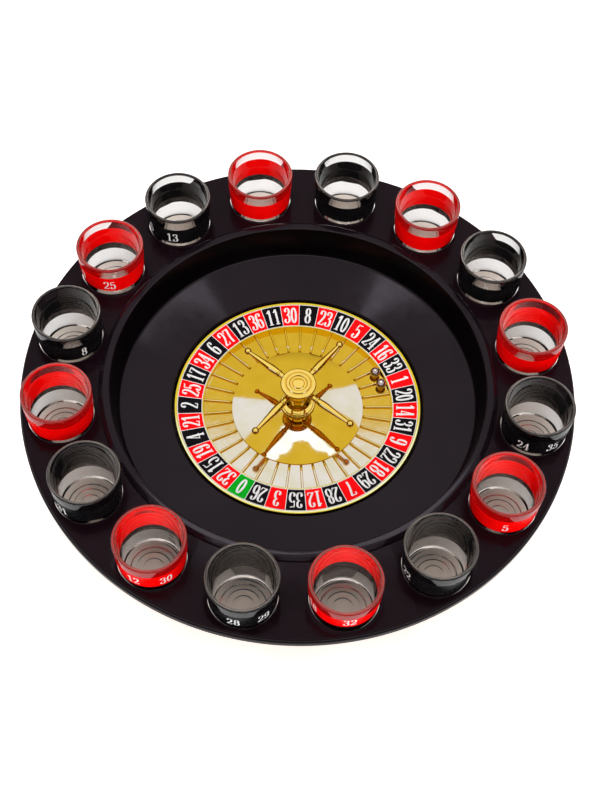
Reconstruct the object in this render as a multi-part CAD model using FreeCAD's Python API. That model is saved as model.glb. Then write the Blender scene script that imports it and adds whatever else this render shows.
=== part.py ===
import FreeCAD, Part
import math
import os

# Tabletop drinking-roulette game: a tray with a ring of shot glasses round a spinning wheel.
# Millimetres, +Z up, origin on the table under the centre of the tray.

V = FreeCAD.Vector
UP = V(0, 0, 1)
CENTRE = V(0, 0, 0)

# ---- driving dimensions -------------------------------------------------------------------
# tray flange, the flat ring that the glasses hang in
TRAY_R = 145.0
FLANGE_TOP = 38.0
FLANGE_THICK = 2.6
EDGE_DROP = 5.7
EDGE_WALL = 2.2
EDGE_ROUND = 1.5
# bowl
SKIRT_R = 100.0
SKIRT_WALL = 2.2
RIDGE_R = 104.6
RIDGE_HEIGHT = 2.0
RIDGE_INNER_R = 98.6
WALL_FOOT_R = 95.4
WALL_FOOT_Z = 21.0
TRACK_END_R = 68.2
TRACK_END_Z = 15.2
RECESS_R = 67.4
SHELL = 2.0
FLOOR_TOP = 6.4
# base
FOOT_HEIGHT = 1.5
FOOT_R = 7.0
FIXING_CIRCLE_R = 84.0
COVER_THICK = 1.7
COVER_R = 97.5
BOSS_R = 4.0
SCREW_R = 1.2
SCREW_HEAD_R = 2.8
SCREW_HEAD = 1.1
SCREW_LENGTH = 9.0
FIXINGS = 4
# spindle
SPINDLE_R = 2.5
SPINDLE_TOP = 24.8
SPINDLE_HEAD_R = 6.0
SPINDLE_HEAD = 1.1
NUT_FLATS = 8.0
NUT_THICK = 1.2
WASHER_R = 4.8
WASHER_THICK = 0.4
CLIP_R = 3.7
CLIP_THICK = 0.6
RUNNING_CLEARANCE = 0.05
# wheel
WHEEL_R = 66.4
RIM_WALL = 2.0
WHEEL_BOTTOM = 8.4
WHEEL_TOP = 14.6
NUMBERS_OUTER_R = 64.8
NUMBERS_INNER_R = 51.4
NUMBERS_OUTER_Z = 14.1
NUMBERS_INNER_Z = 12.6
NUMBERS_THICK = 0.3
POCKET_OUTER_R = 50.7
POCKET_FLOOR = 10.0
POCKETS = 37
FIRST_RIB_DEG = 90.0
RIB_THICK = 0.9
RIB_HEIGHT = 1.1
CONE_R = 35.4
CONE_EDGE = 0.5
CONE_TOP = 13.8
CONE_TOP_R = 8.5
CONE_PLATE = 0.8
HUB_BOSS_R = 7.0
BUSH_R = 4.1
# turret
NECK_R = 5.2
NECK_FOOT_R = 9.2
NECK_TOP = 28.0
NECK_TOP_R = 6.8
TURRET_HUB_R = 7.2
TURRET_HUB_TOP = 33.0
CAP_R = 9.65
CAP_TOP = 35.3
ARM_Z = 30.9
ARM_COUNT = 4
ARM_FIRST_DEG = 52.4
ARM_ROOT = 7.25
ARM_TIP = 34.9
ARM_STUD_R = 1.25
ARM_SHANK_R = 1.55
ARM_BELLY_R = 2.05
ARM_NECK_R = 1.0
ARM_BALL_R = 1.95
# balls
BALL_R = 2.8
BALL_RING_R = 47.5
BALL_GAP = 0.1
BALL_DEG = (28.4, 18.7)
# glasses
GLASSES = 16
GLASS_RING_R = 124.2
GLASS_FIRST_DEG = 102.0
GLASS_RIM_R = 18.05
GLASS_FLANGE_R = 16.94
GLASS_ABOVE = 21.0
GLASS_BELOW = 15.6
GLASS_WALL = 1.9
GLASS_FLOOR = 4.4
GLASS_PUNT = 1.0
GLASS_PUNT_R = 12.0
GLASS_INNER_ROUND = 1.6
HOLE_CLEARANCE = 0.16

# ---- worked out ---------------------------------------------------------------------------
COVER_TOP = FOOT_HEIGHT + COVER_THICK
FLOOR_BOTTOM = FLOOR_TOP - SHELL
WASHER_BOTTOM = FLOOR_TOP + NUT_THICK
BUSH_BOTTOM = WASHER_BOTTOM + WASHER_THICK + 0.4
BUSH_TOP = 23.0
CLIP_BOTTOM = BUSH_TOP + 0.4
NECK_BORE_TOP = SPINDLE_TOP + 1.2
GLASS_TAPER = (GLASS_RIM_R - GLASS_FLANGE_R) / GLASS_ABOVE
HOLE_R = GLASS_FLANGE_R + HOLE_CLEARANCE


# ---- helpers ------------------------------------------------------------------------------
def lathe(start, *steps):
    """Solid of revolution about Z. A step is a point (r, z), or (middle, end) for an arc."""
    edges = []
    here = start
    for step in steps + (start,):
        if isinstance(step[0], tuple):
            middle, end = step
            arc = Part.Arc(V(here[0], 0, here[1]), V(middle[0], 0, middle[1]), V(end[0], 0, end[1]))
            edges.append(arc.toShape())
        else:
            end = step
            edges.append(Part.makeLine(V(here[0], 0, here[1]), V(end[0], 0, end[1])))
        here = end
    face = Part.Face(Part.Wire(edges))
    return face.revolve(CENTRE, UP, 360)


def polar(radius, degrees, z=0.0):
    angle = math.radians(degrees)
    return V(radius * math.cos(angle), radius * math.sin(angle), z)


def tube(outer, inner, bottom, height):
    return lathe((inner, bottom), (outer, bottom), (outer, bottom + height), (inner, bottom + height))


def save(shape, name):
    shape.exportStep("parts/" + name + ".step")
    print(name, "valid", shape.isValid(), "volume", round(shape.Volume, 1), "solids", len(shape.Solids))


# ---- tray ---------------------------------------------------------------------------------
def tray_flange():
    bottom = FLANGE_TOP - FLANGE_THICK
    turn = EDGE_ROUND * (1 - math.sqrt(0.5))
    ring = lathe(
        (SKIRT_R, bottom),
        (TRAY_R - EDGE_WALL, bottom),
        (TRAY_R - EDGE_WALL, FLANGE_TOP - EDGE_DROP),
        (TRAY_R, FLANGE_TOP - EDGE_DROP),
        (TRAY_R, FLANGE_TOP - EDGE_ROUND),
        ((TRAY_R - turn, FLANGE_TOP - turn), (TRAY_R - EDGE_ROUND, FLANGE_TOP)),
        (SKIRT_R, FLANGE_TOP),
    )
    for k in range(GLASSES):
        centre = polar(GLASS_RING_R, GLASS_FIRST_DEG + k * 360.0 / GLASSES, bottom - 1)
        ring = ring.cut(Part.makeCylinder(HOLE_R, FLANGE_THICK + 2, centre, UP))
    return ring


def bowl():
    ridge_top = FLANGE_TOP + RIDGE_HEIGHT
    track_under = WALL_FOOT_Z - 2.4
    recess_out = RECESS_R + SHELL
    body = lathe(
        (RECESS_R, FLOOR_TOP),
        (recess_out, FLOOR_TOP),
        (recess_out, TRACK_END_Z - 2.2),
        (WALL_FOOT_R - 1.0, track_under),
        (SKIRT_R - SKIRT_WALL, track_under),
        (SKIRT_R - SKIRT_WALL, FOOT_HEIGHT),
        (SKIRT_R, FOOT_HEIGHT),
        (SKIRT_R, FLANGE_TOP),
        (RIDGE_R, FLANGE_TOP),
        ((RIDGE_R - 0.9, FLANGE_TOP + 1.4), (RIDGE_R - 2.8, ridge_top)),
        (RIDGE_INNER_R + 0.8, ridge_top),
        ((RIDGE_INNER_R + 0.2, ridge_top - 0.25), (RIDGE_INNER_R, ridge_top - 0.9)),
        (WALL_FOOT_R + 0.4, WALL_FOOT_Z + 1.9),
        ((WALL_FOOT_R - 0.4, WALL_FOOT_Z + 0.5), (WALL_FOOT_R - 2.1, WALL_FOOT_Z - 0.35)),
        (TRACK_END_R, TRACK_END_Z),
        ((RECESS_R + 0.25, TRACK_END_Z - 0.3), (RECESS_R, TRACK_END_Z - 0.9)),
    )
    for k in range(FIXINGS):
        foot = polar(FIXING_CIRCLE_R, k * 360.0 / FIXINGS, COVER_TOP)
        body = body.fuse(Part.makeCylinder(BOSS_R, TRACK_END_Z + 1.6 - COVER_TOP, foot, UP))
        body = body.cut(Part.makeCylinder(SCREW_R, SCREW_LENGTH, foot, UP))
    return body.removeSplitter()


def base_cover():
    disc = Part.makeCylinder(COVER_R, COVER_THICK, V(0, 0, FOOT_HEIGHT), UP)
    for k in range(FIXINGS):
        centre = polar(FIXING_CIRCLE_R, k * 360.0 / FIXINGS, FOOT_HEIGHT - 1)
        disc = disc.cut(Part.makeCylinder(SCREW_R + 0.3, COVER_THICK + 2, centre, UP))
    return disc


def cover_screws():
    screws = []
    for k in range(FIXINGS):
        screw = lathe(
            (0, FOOT_HEIGHT - SCREW_HEAD),
            (SCREW_HEAD_R - 0.8, FOOT_HEIGHT - SCREW_HEAD),
            ((SCREW_HEAD_R - 0.2, FOOT_HEIGHT - 0.8), (SCREW_HEAD_R, FOOT_HEIGHT)),
            (SCREW_R, FOOT_HEIGHT),
            (SCREW_R, FOOT_HEIGHT + SCREW_LENGTH),
            (0, FOOT_HEIGHT + SCREW_LENGTH + SCREW_R),
        )
        slot = Part.makeBox(2 * SCREW_HEAD_R, 0.7, 0.6, V(-SCREW_HEAD_R, -0.35, FOOT_HEIGHT - SCREW_HEAD))
        screw = screw.cut(slot)
        screw.translate(polar(FIXING_CIRCLE_R, k * 360.0 / FIXINGS))
        screws.append(screw)
    return Part.makeCompound(screws)


def foot_pad(k):
    pad = lathe(
        (0, 0),
        (FOOT_R - 0.6, 0),
        (FOOT_R, 0.6),
        (FOOT_R, FOOT_HEIGHT),
        (0, FOOT_HEIGHT),
    )
    pad.translate(polar(FIXING_CIRCLE_R, (k + 0.5) * 360.0 / FIXINGS))
    return pad


# ---- spindle ------------------------------------------------------------------------------
def spindle():
    return lathe(
        (0, FLOOR_BOTTOM - SPINDLE_HEAD),
        (SPINDLE_HEAD_R, FLOOR_BOTTOM - SPINDLE_HEAD),
        (SPINDLE_HEAD_R, FLOOR_BOTTOM),
        (SPINDLE_R, FLOOR_BOTTOM),
        (SPINDLE_R, SPINDLE_TOP - 0.8),
        (SPINDLE_R - 0.8, SPINDLE_TOP),
        (0, SPINDLE_TOP),
    )


def spindle_nut():
    corner_r = NUT_FLATS / math.sqrt(3)
    corners = [polar(corner_r, 60 * k, FLOOR_TOP) for k in range(7)]
    nut = Part.Face(Part.makePolygon(corners)).extrude(V(0, 0, NUT_THICK))
    return nut.cut(Part.makeCylinder(SPINDLE_R, NUT_THICK, V(0, 0, FLOOR_TOP), UP))


def retaining_clip():
    ring = tube(CLIP_R, SPINDLE_R, CLIP_BOTTOM, CLIP_THICK)
    gap = Part.makeBox(CLIP_R + 1, 2.0, CLIP_THICK + 2, V(SPINDLE_R - 0.5, -1.0, CLIP_BOTTOM - 1))
    return ring.cut(gap)


# ---- wheel --------------------------------------------------------------------------------
def wheel_pan():
    web = 1.5
    pan = lathe(
        (BUSH_R, WHEEL_BOTTOM),
        (POCKET_OUTER_R + web, WHEEL_BOTTOM),
        (POCKET_OUTER_R + web, NUMBERS_INNER_Z - web),
        (WHEEL_R - RIM_WALL, NUMBERS_OUTER_Z - web),
        (WHEEL_R - RIM_WALL, WHEEL_BOTTOM),
        (WHEEL_R, WHEEL_BOTTOM),
        (WHEEL_R, WHEEL_TOP - 0.5),
        ((WHEEL_R - 0.15, WHEEL_TOP - 0.15), (WHEEL_R - 0.5, WHEEL_TOP)),
        (NUMBERS_OUTER_R + 0.3, WHEEL_TOP),
        (NUMBERS_OUTER_R, WHEEL_TOP - 0.2),
        (NUMBERS_OUTER_R, NUMBERS_OUTER_Z),
        (NUMBERS_INNER_R, NUMBERS_INNER_Z),
        (NUMBERS_INNER_R, NUMBERS_INNER_Z + 0.5),
        (POCKET_OUTER_R + 0.2, NUMBERS_INNER_Z + 0.5),
        (POCKET_OUTER_R, NUMBERS_INNER_Z + 0.3),
        (POCKET_OUTER_R, POCKET_FLOOR),
        (HUB_BOSS_R, POCKET_FLOOR),
        (HUB_BOSS_R, CONE_TOP - CONE_PLATE),
        (BUSH_R, CONE_TOP - CONE_PLATE),
    )
    ribs = []
    for k in range(POCKETS):
        length = POCKET_OUTER_R + 0.3 - CONE_R - 0.1
        rib = Part.makeBox(length, RIB_THICK, RIB_HEIGHT + 0.4,
                           V(CONE_R + 0.1, -RIB_THICK / 2, POCKET_FLOOR - 0.4))
        rib.rotate(CENTRE, UP, FIRST_RIB_DEG + k * 360.0 / POCKETS)
        ribs.append(rib)
    return pan.fuse(ribs).removeSplitter()


def number_ring():
    return lathe(
        (NUMBERS_INNER_R, NUMBERS_INNER_Z),
        (NUMBERS_OUTER_R, NUMBERS_OUTER_Z),
        (NUMBERS_OUTER_R, NUMBERS_OUTER_Z + NUMBERS_THICK),
        (NUMBERS_INNER_R, NUMBERS_INNER_Z + NUMBERS_THICK),
    )


def wheel_cone():
    outer = lathe(
        (BUSH_R, POCKET_FLOOR),
        (CONE_R, POCKET_FLOOR),
        (CONE_R, POCKET_FLOOR + CONE_EDGE),
        ((22.5, 12.75), (CONE_TOP_R, CONE_TOP)),
        (BUSH_R, CONE_TOP),
    )
    hollow = lathe(
        (0, POCKET_FLOOR - 1),
        (CONE_R - 2.4, POCKET_FLOOR - 1),
        (CONE_R - 2.4, POCKET_FLOOR),
        ((21.5, 11.9), (CONE_TOP_R, CONE_TOP - CONE_PLATE)),
        (0, CONE_TOP - CONE_PLATE),
    )
    return outer.cut(hollow)


# ---- turret -------------------------------------------------------------------------------
def turret_neck():
    foot = CONE_TOP
    return lathe(
        (BUSH_R, foot),
        (NECK_FOOT_R, foot),
        ((NECK_FOOT_R + 0.3, foot + 0.5), (NECK_FOOT_R, foot + 1.0)),
        (NECK_FOOT_R - 0.9, foot + 1.3),
        ((NECK_R + 1.0, foot + 2.5), (NECK_R, foot + 4.6)),
        (NECK_R, NECK_TOP - 4.0),
        ((NECK_R + 0.4, NECK_TOP - 1.6), (NECK_TOP_R, NECK_TOP)),
        (0, NECK_TOP),
        (0, NECK_BORE_TOP),
        (BUSH_R, NECK_BORE_TOP),
    )


def turret_hub():
    hub = lathe(
        (0, NECK_TOP),
        (TURRET_HUB_R - 0.3, NECK_TOP),
        (TURRET_HUB_R, NECK_TOP + 0.3),
        (TURRET_HUB_R, TURRET_HUB_TOP),
        (0, TURRET_HUB_TOP),
    )
    for k in range(ARM_COUNT):
        angle = ARM_FIRST_DEG + k * 360.0 / ARM_COUNT
        start = polar(ARM_ROOT - 4.0, angle, ARM_Z)
        hub = hub.cut(Part.makeCylinder(ARM_STUD_R, 6.0, start, polar(1.0, angle)))
    return hub


def turret_cap():
    return lathe(
        (0, TURRET_HUB_TOP),
        (CAP_R - 0.9, TURRET_HUB_TOP),
        ((CAP_R, TURRET_HUB_TOP + 0.9), (CAP_R - 0.9, CAP_TOP - 0.5)),
        (CAP_R - 2.6, CAP_TOP - 0.4),
        (CAP_R - 2.9, CAP_TOP - 0.8),
        (CAP_R - 3.4, CAP_TOP - 0.1),
        (CAP_R - 4.9, CAP_TOP),
        (CAP_R - 5.3, CAP_TOP - 0.8),
        (3.4, CAP_TOP - 0.8),
        (2.9, CAP_TOP - 0.2),
        (0, CAP_TOP),
    )


def turret_arm(k):
    """One arm, turned about Z from its stud to its ball and then laid along the radius."""
    root = ARM_ROOT
    ball_start = ARM_TIP - math.sqrt(ARM_BALL_R ** 2 - ARM_NECK_R ** 2)
    arm = lathe(
        (0, root - 4.0),
        (ARM_STUD_R, root - 4.0),
        (ARM_STUD_R, root),
        (ARM_SHANK_R, root),
        (ARM_SHANK_R, root + 5.2),
        (ARM_SHANK_R + 0.5, root + 5.5),
        (ARM_SHANK_R + 0.5, root + 6.2),
        (ARM_SHANK_R + 0.2, root + 6.4),
        ((ARM_BELLY_R, root + 9.5), (ARM_BELLY_R - 0.25, root + 14.0)),
        (ARM_NECK_R, ball_start),
        ((ARM_BALL_R, ARM_TIP), (0, ARM_TIP + ARM_BALL_R)),
    )
    arm.rotate(CENTRE, V(0, 1, 0), 90)
    arm.translate(V(0, 0, ARM_Z))
    arm.rotate(CENTRE, UP, ARM_FIRST_DEG + k * 360.0 / ARM_COUNT)
    return arm


# ---- loose pieces -------------------------------------------------------------------------
def ball(k):
    centre = polar(BALL_RING_R, BALL_DEG[k], POCKET_FLOOR + BALL_R + BALL_GAP)
    return Part.makeSphere(BALL_R, centre)


def shot_glass(k):
    bottom = FLANGE_TOP - GLASS_BELOW
    rim = FLANGE_TOP + GLASS_ABOVE
    base_r = GLASS_FLANGE_R - GLASS_TAPER * GLASS_BELOW
    inner_floor = bottom + GLASS_FLOOR
    inner_base_r = GLASS_FLANGE_R - GLASS_TAPER * (GLASS_BELOW - GLASS_FLOOR) - GLASS_WALL
    bend = GLASS_INNER_ROUND
    turn = bend * (1 - math.sqrt(0.5))
    lip = GLASS_WALL / 2
    glass = lathe(
        (0, bottom + GLASS_PUNT),
        (GLASS_PUNT_R - 1.0, bottom + GLASS_PUNT),
        (GLASS_PUNT_R, bottom),
        (base_r - 1.0, bottom),
        ((base_r - 0.3, bottom + 0.3), (base_r + 0.05, bottom + 1.0)),
        (GLASS_RIM_R - 0.05, rim - lip),
        ((GLASS_RIM_R - lip, rim), (GLASS_RIM_R - GLASS_WALL, rim - lip)),
        (inner_base_r + 0.05, inner_floor + bend),
        ((inner_base_r - turn, inner_floor + turn), (inner_base_r - bend, inner_floor)),
        (0, inner_floor),
    )
    glass.translate(polar(GLASS_RING_R, GLASS_FIRST_DEG + k * 360.0 / GLASSES))
    return glass


# ---- write every sub-part -----------------------------------------------------------------
def main():
    os.makedirs("parts", exist_ok=True)
    save(tray_flange(), "tray_flange")
    save(bowl(), "bowl")
    save(tube(RECESS_R + SHELL, SPINDLE_R, FLOOR_BOTTOM, FLOOR_TOP - FLOOR_BOTTOM), "bearing_plate")
    save(base_cover(), "base_cover")
    save(cover_screws(), "cover_screws")
    for k in range(FIXINGS):
        save(foot_pad(k), "foot_pad_%d" % (k + 1))
    save(spindle(), "spindle")
    save(spindle_nut(), "spindle_nut")
    save(tube(WASHER_R, SPINDLE_R, WASHER_BOTTOM, WASHER_THICK), "thrust_washer")
    save(retaining_clip(), "retaining_clip")
    save(tube(BUSH_R, SPINDLE_R + RUNNING_CLEARANCE, BUSH_BOTTOM, BUSH_TOP - BUSH_BOTTOM), "pivot_bush")
    save(wheel_pan(), "wheel_pan")
    save(number_ring(), "number_ring")
    save(wheel_cone(), "wheel_cone")
    save(turret_neck(), "turret_neck")
    save(turret_hub(), "turret_hub")
    save(turret_cap(), "turret_cap")
    for k in range(ARM_COUNT):
        save(turret_arm(k), "turret_arm_%d" % (k + 1))
    for k in range(len(BALL_DEG)):
        save(ball(k), "steel_ball_%d" % (k + 1))
    for k in range(GLASSES):
        save(shot_glass(k), "shot_glass_%02d" % (k + 1))


main()
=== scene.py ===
import math

import bmesh
import bpy
from mathutils import Matrix, Vector


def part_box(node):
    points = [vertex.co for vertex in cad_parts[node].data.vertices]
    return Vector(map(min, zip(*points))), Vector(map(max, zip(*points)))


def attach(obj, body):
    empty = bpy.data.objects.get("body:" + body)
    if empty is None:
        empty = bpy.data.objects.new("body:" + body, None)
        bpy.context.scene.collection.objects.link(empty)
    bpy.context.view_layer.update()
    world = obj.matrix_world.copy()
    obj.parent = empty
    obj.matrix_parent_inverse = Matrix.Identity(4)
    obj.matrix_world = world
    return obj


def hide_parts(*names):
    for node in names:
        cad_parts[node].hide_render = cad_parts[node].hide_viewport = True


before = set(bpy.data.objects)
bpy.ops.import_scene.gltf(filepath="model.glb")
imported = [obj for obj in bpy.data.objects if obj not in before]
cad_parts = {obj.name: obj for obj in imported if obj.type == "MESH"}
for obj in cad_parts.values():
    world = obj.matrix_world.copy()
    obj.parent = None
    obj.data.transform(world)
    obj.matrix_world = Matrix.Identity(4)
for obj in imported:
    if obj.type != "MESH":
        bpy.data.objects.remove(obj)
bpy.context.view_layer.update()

# Outlines are in millimetres and turned into metres when a mesh is made.
MM = 0.001
GLASSES = 16
POCKETS = 37
ARMS = 4
BALLS = 2
LATHE_STEPS = 240
FILLET_STEPS = 5
SHARP_DEG = 38.0


def mm_box(node):
    low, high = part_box(node)
    return low / MM, high / MM


def middle(node):
    low, high = mm_box(node)
    return (low + high) / 2


# ---- sizes read from the frame --------------------------------------------------------------
TRAY_R = mm_box("tray_flange")[1].x
EDGE_BOTTOM = mm_box("tray_flange")[0].z
FLANGE_TOP = mm_box("tray_flange")[1].z
RIDGE_R = mm_box("bowl")[1].x
RIDGE_TOP = mm_box("bowl")[1].z
SKIRT_BOTTOM = mm_box("bowl")[0].z
WHEEL_R = mm_box("wheel_pan")[1].x
WHEEL_TOP = mm_box("wheel_pan")[1].z
WHEEL_BOTTOM = mm_box("wheel_pan")[0].z
NUMBERS_R = mm_box("number_ring")[1].x
NUMBERS_LOW, NUMBERS_HIGH = mm_box("number_ring")[0].z, mm_box("number_ring")[1].z
CONE_R = mm_box("wheel_cone")[1].x
CONE_FOOT, CONE_TOP = mm_box("wheel_cone")[0].z, mm_box("wheel_cone")[1].z
NECK_TOP = mm_box("turret_neck")[1].z
HUB_TOP = mm_box("turret_hub")[1].z
HUB_R = mm_box("turret_hub")[1].x
CAP_R, CAP_TOP = mm_box("turret_cap")[1].x, mm_box("turret_cap")[1].z
BALL_R = (mm_box("steel_ball_1")[1].z - mm_box("steel_ball_1")[0].z) / 2
GLASS_LOW, GLASS_HIGH = mm_box("shot_glass_01")[0].z, mm_box("shot_glass_01")[1].z
GLASS_RIM_R = (mm_box("shot_glass_01")[1].x - mm_box("shot_glass_01")[0].x) / 2

# ---- other driving sizes, as in the frame's solids ------------------------------------------
FLANGE_THICK = 2.6
EDGE_WALL = 2.2
HOLE_R = 17.1
GLASS_TAPER = 0.0529
GLASS_WALL = 1.9
GLASS_FLOOR = 4.4
SKIRT_R = 100.0
SKIRT_WALL = 2.2
NUMBERS_INNER_R = 51.4
POCKET_R = 50.7
POCKET_FLOOR = 10.0
BORE_R = 4.1
FIRST_RIB_DEG = 90.0
FIRST_FIELD_DEG = 91.0
ARM_FIRST_DEG = 52.4
ARM_Z = 30.9

# European order, clockwise from above, starting right of the far side's boundary
WHEEL_ORDER = (8, 23, 10, 5, 24, 16, 33, 1, 20, 14, 31, 9, 22, 18, 29, 7, 28, 12, 35, 3, 26,
               0, 32, 15, 19, 4, 21, 2, 25, 17, 34, 6, 27, 13, 36, 11, 30)
RED_NUMBERS = {1, 3, 5, 7, 9, 12, 14, 16, 18, 19, 21, 23, 25, 27, 30, 32, 34, 36}


# ---- outlines and meshes --------------------------------------------------------------------
def rounded(corners):
    """Outline points (r, z) from corners (r, z, fillet radius), closed, with each fillet as an arc."""
    points = []
    count = len(corners)
    for i, (r, z, radius) in enumerate(corners):
        here = Vector((r, z))
        before = Vector(corners[i - 1][:2]) - here
        after = Vector(corners[(i + 1) % count][:2]) - here
        if radius <= 0 or before.length < 1e-9 or after.length < 1e-9:
            points.append(here)
            continue
        half = before.angle(after) / 2
        reach = min(radius / math.tan(half), 0.48 * before.length, 0.48 * after.length)
        start = here + before.normalized() * reach
        end = here + after.normalized() * reach
        inward = (before.normalized() + after.normalized()).normalized()
        centre = here + inward * (reach / math.cos(half))
        a, b = start - centre, end - centre
        turn = a.angle(b)
        for k in range(FILLET_STEPS + 1):
            t = k / FILLET_STEPS
            blend = (a * math.sin((1 - t) * turn) + b * math.sin(t * turn)) / math.sin(turn)
            points.append(centre + blend)
    return [(p.x, p.y) for p in points]


def arc_through(start, mid, end, steps):
    """Points from start to end on the circle through mid, without start itself."""
    (ax, ay), (bx, by), (cx, cy) = start, mid, end
    d = 2 * (ax * (by - cy) + bx * (cy - ay) + cx * (ay - by))
    sa, sb, sc = ax * ax + ay * ay, bx * bx + by * by, cx * cx + cy * cy
    ox = (sa * (by - cy) + sb * (cy - ay) + sc * (ay - by)) / d
    oy = (sa * (cx - bx) + sb * (ax - cx) + sc * (bx - ax)) / d
    radius = math.hypot(ax - ox, ay - oy)
    first = math.atan2(ay - oy, ax - ox)
    last = math.atan2(cy - oy, cx - ox)
    turn = (last - first + math.pi) % (2 * math.pi) - math.pi
    angles = [first + turn * k / steps for k in range(1, steps + 1)]
    return [(ox + radius * math.cos(angle), oy + radius * math.sin(angle)) for angle in angles]


def finish_mesh(bm, name, materials, sharp_deg=SHARP_DEG):
    bmesh.ops.recalc_face_normals(bm, faces=bm.faces)
    mesh = bpy.data.meshes.new(name)
    bm.to_mesh(mesh)
    bm.free()
    mesh.shade_smooth()
    mesh.set_sharp_from_angle(angle=math.radians(sharp_deg))
    obj = bpy.data.objects.new(name, mesh)
    bpy.context.scene.collection.objects.link(obj)
    for m in materials:
        mesh.materials.append(m)
    return obj


def revolve(bm, outline, steps, place):
    """Adds the closed outline (r, z) in mm turned about Z; points on the axis become single vertices."""
    rings = []
    for r, z in outline:
        if r < 1e-6:
            rings.append([bm.verts.new(place @ Vector((0, 0, z * MM)))] * steps)
            continue
        ring = []
        for k in range(steps):
            angle = 2 * math.pi * k / steps
            point = Vector((r * math.cos(angle) * MM, r * math.sin(angle) * MM, z * MM))
            ring.append(bm.verts.new(place @ point))
        rings.append(ring)
    for i, ring in enumerate(rings):
        following = rings[(i + 1) % len(rings)]
        if ring[0] is ring[1] and following[0] is following[1]:
            continue
        for k in range(steps):
            n = (k + 1) % steps
            corners = []
            for v in (ring[k], ring[n], following[n], following[k]):
                if v not in corners:
                    corners.append(v)
            bm.faces.new(corners)


def lathe(name, outline, material, steps=LATHE_STEPS, place=Matrix.Identity(4)):
    bm = bmesh.new()
    revolve(bm, outline, steps, place)
    return finish_mesh(bm, name, [material])


def turned(degrees):
    return Matrix.Rotation(math.radians(degrees), 4, "Z")


def piece(obj, body, slot, *nodes):
    """Says what a finished piece rides on and stands for; slot, the finish it would take, is not used."""
    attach(obj, body)
    if nodes:
        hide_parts(*nodes)
    return obj


# ---- materials ------------------------------------------------------------------------------
def new_material(name):
    m = bpy.data.materials.new(name)
    m.use_nodes = True
    tree = m.node_tree
    shader = tree.nodes["Principled BSDF"]
    where = tree.nodes.new("ShaderNodeTexCoord").outputs["Object"]
    return m, tree, shader, where


def noise(tree, where, scale, detail=3.0):
    n = tree.nodes.new("ShaderNodeTexNoise")
    n.inputs["Scale"].default_value = scale
    n.inputs["Detail"].default_value = detail
    tree.links.new(where, n.inputs["Vector"])
    return n.outputs["Fac"]


def two_tone(tree, factor, dark, light):
    ramp = tree.nodes.new("ShaderNodeValToRGB")
    ramp.color_ramp.elements[0].position = 0.35
    ramp.color_ramp.elements[1].position = 0.65
    ramp.color_ramp.elements[0].color = (*dark, 1)
    ramp.color_ramp.elements[1].color = (*light, 1)
    tree.links.new(factor, ramp.inputs["Fac"])
    return ramp.outputs["Color"]


def spread(tree, factor, low, high, from_low=0.3, from_high=0.7):
    node = tree.nodes.new("ShaderNodeMapRange")
    node.inputs["From Min"].default_value = from_low
    node.inputs["From Max"].default_value = from_high
    node.inputs["To Min"].default_value = low
    node.inputs["To Max"].default_value = high
    tree.links.new(factor, node.inputs["Value"])
    return node.outputs["Result"]


def bump(tree, shader, height, strength, distance):
    node = tree.nodes.new("ShaderNodeBump")
    node.inputs["Strength"].default_value = strength
    node.inputs["Distance"].default_value = distance
    tree.links.new(height, node.inputs["Height"])
    tree.links.new(node.outputs["Normal"], shader.inputs["Normal"])


def finish(name, dark, light, rough, colour_scale, rough_scale, metallic=0.0, specular=0.5,
           bumps=(), sockets=()):
    """One surface: two close tones, roughness that varies, and an optional fine relief.

    bumps holds (scale, strength, distance); sockets holds (shader socket, value).
    """
    m, tree, shader, where = new_material(name)
    shader.inputs["Metallic"].default_value = metallic
    shader.inputs["Specular IOR Level"].default_value = specular
    tones = two_tone(tree, noise(tree, where, colour_scale), dark, light)
    tree.links.new(tones, shader.inputs["Base Color"])
    wear = spread(tree, noise(tree, where, rough_scale, 6.0), *rough)
    tree.links.new(wear, shader.inputs["Roughness"])
    for scale, strength, distance in bumps:
        bump(tree, shader, noise(tree, where, scale, 2.0), strength, distance)
    for socket, value in sockets:
        shader.inputs[socket].default_value = value
    return m


BLACK_PLASTIC = finish(
    "black_plastic", (0.0060, 0.0022, 0.0036), (0.0085, 0.0032, 0.0052), (0.12, 0.24), 35, 240,
    specular=0.1, bumps=[(900, 0.06, 0.0002)], sockets=[("Specular Tint", (1.0, 0.86, 0.94, 1))])
BOWL_PLASTIC = finish(
    "bowl_plastic", (0.0060, 0.0034, 0.0050), (0.0085, 0.0050, 0.0074), (0.05, 0.09), 28, 180,
    specular=0.2, sockets=[("Specular Tint", (1.0, 0.87, 0.94, 1))])
# Painted shade: a darker, less glossy copy of the bowl plastic for the steep wall, standing in for the shade
# that the wall shows.
WALL_PAINTED_SHADE = finish(
    "bowl_wall_painted_shade", (0.0020, 0.0014, 0.0020), (0.0034, 0.0026, 0.0034), (0.1, 0.2), 28, 180,
    specular=0.05, bumps=[(420, 0.05, 0.0003)])
BASE_PLASTIC = finish(
    "base_plastic", (0.02, 0.02, 0.021), (0.032, 0.031, 0.033), (0.5, 0.68), 60, 700,
    bumps=[(1800, 0.3, 0.0002)])
RUBBER = finish(
    "foot_rubber", (0.016, 0.016, 0.016), (0.03, 0.03, 0.03), (0.75, 0.9), 200, 900,
    specular=0.3, bumps=[(2400, 0.4, 0.0002)])
STEEL = finish(
    "turned_steel", (0.50, 0.50, 0.52), (0.62, 0.62, 0.63), (0.22, 0.38), 300, 1600,
    metallic=1.0, bumps=[(1500, 0.1, 0.0001)])
# Partly painted reflection: the steel's own grey is toned darker and warm, standing in for the dark bowl and
# warm surroundings that the balls mirror.
BALL_STEEL = finish(
    "polished_steel", (0.50, 0.41, 0.38), (0.60, 0.50, 0.46), (0.03, 0.09), 300, 900, metallic=1.0)
NYLON = finish("natural_nylon", (0.72, 0.70, 0.64), (0.80, 0.78, 0.72), (0.4, 0.5), 200, 800)

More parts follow.
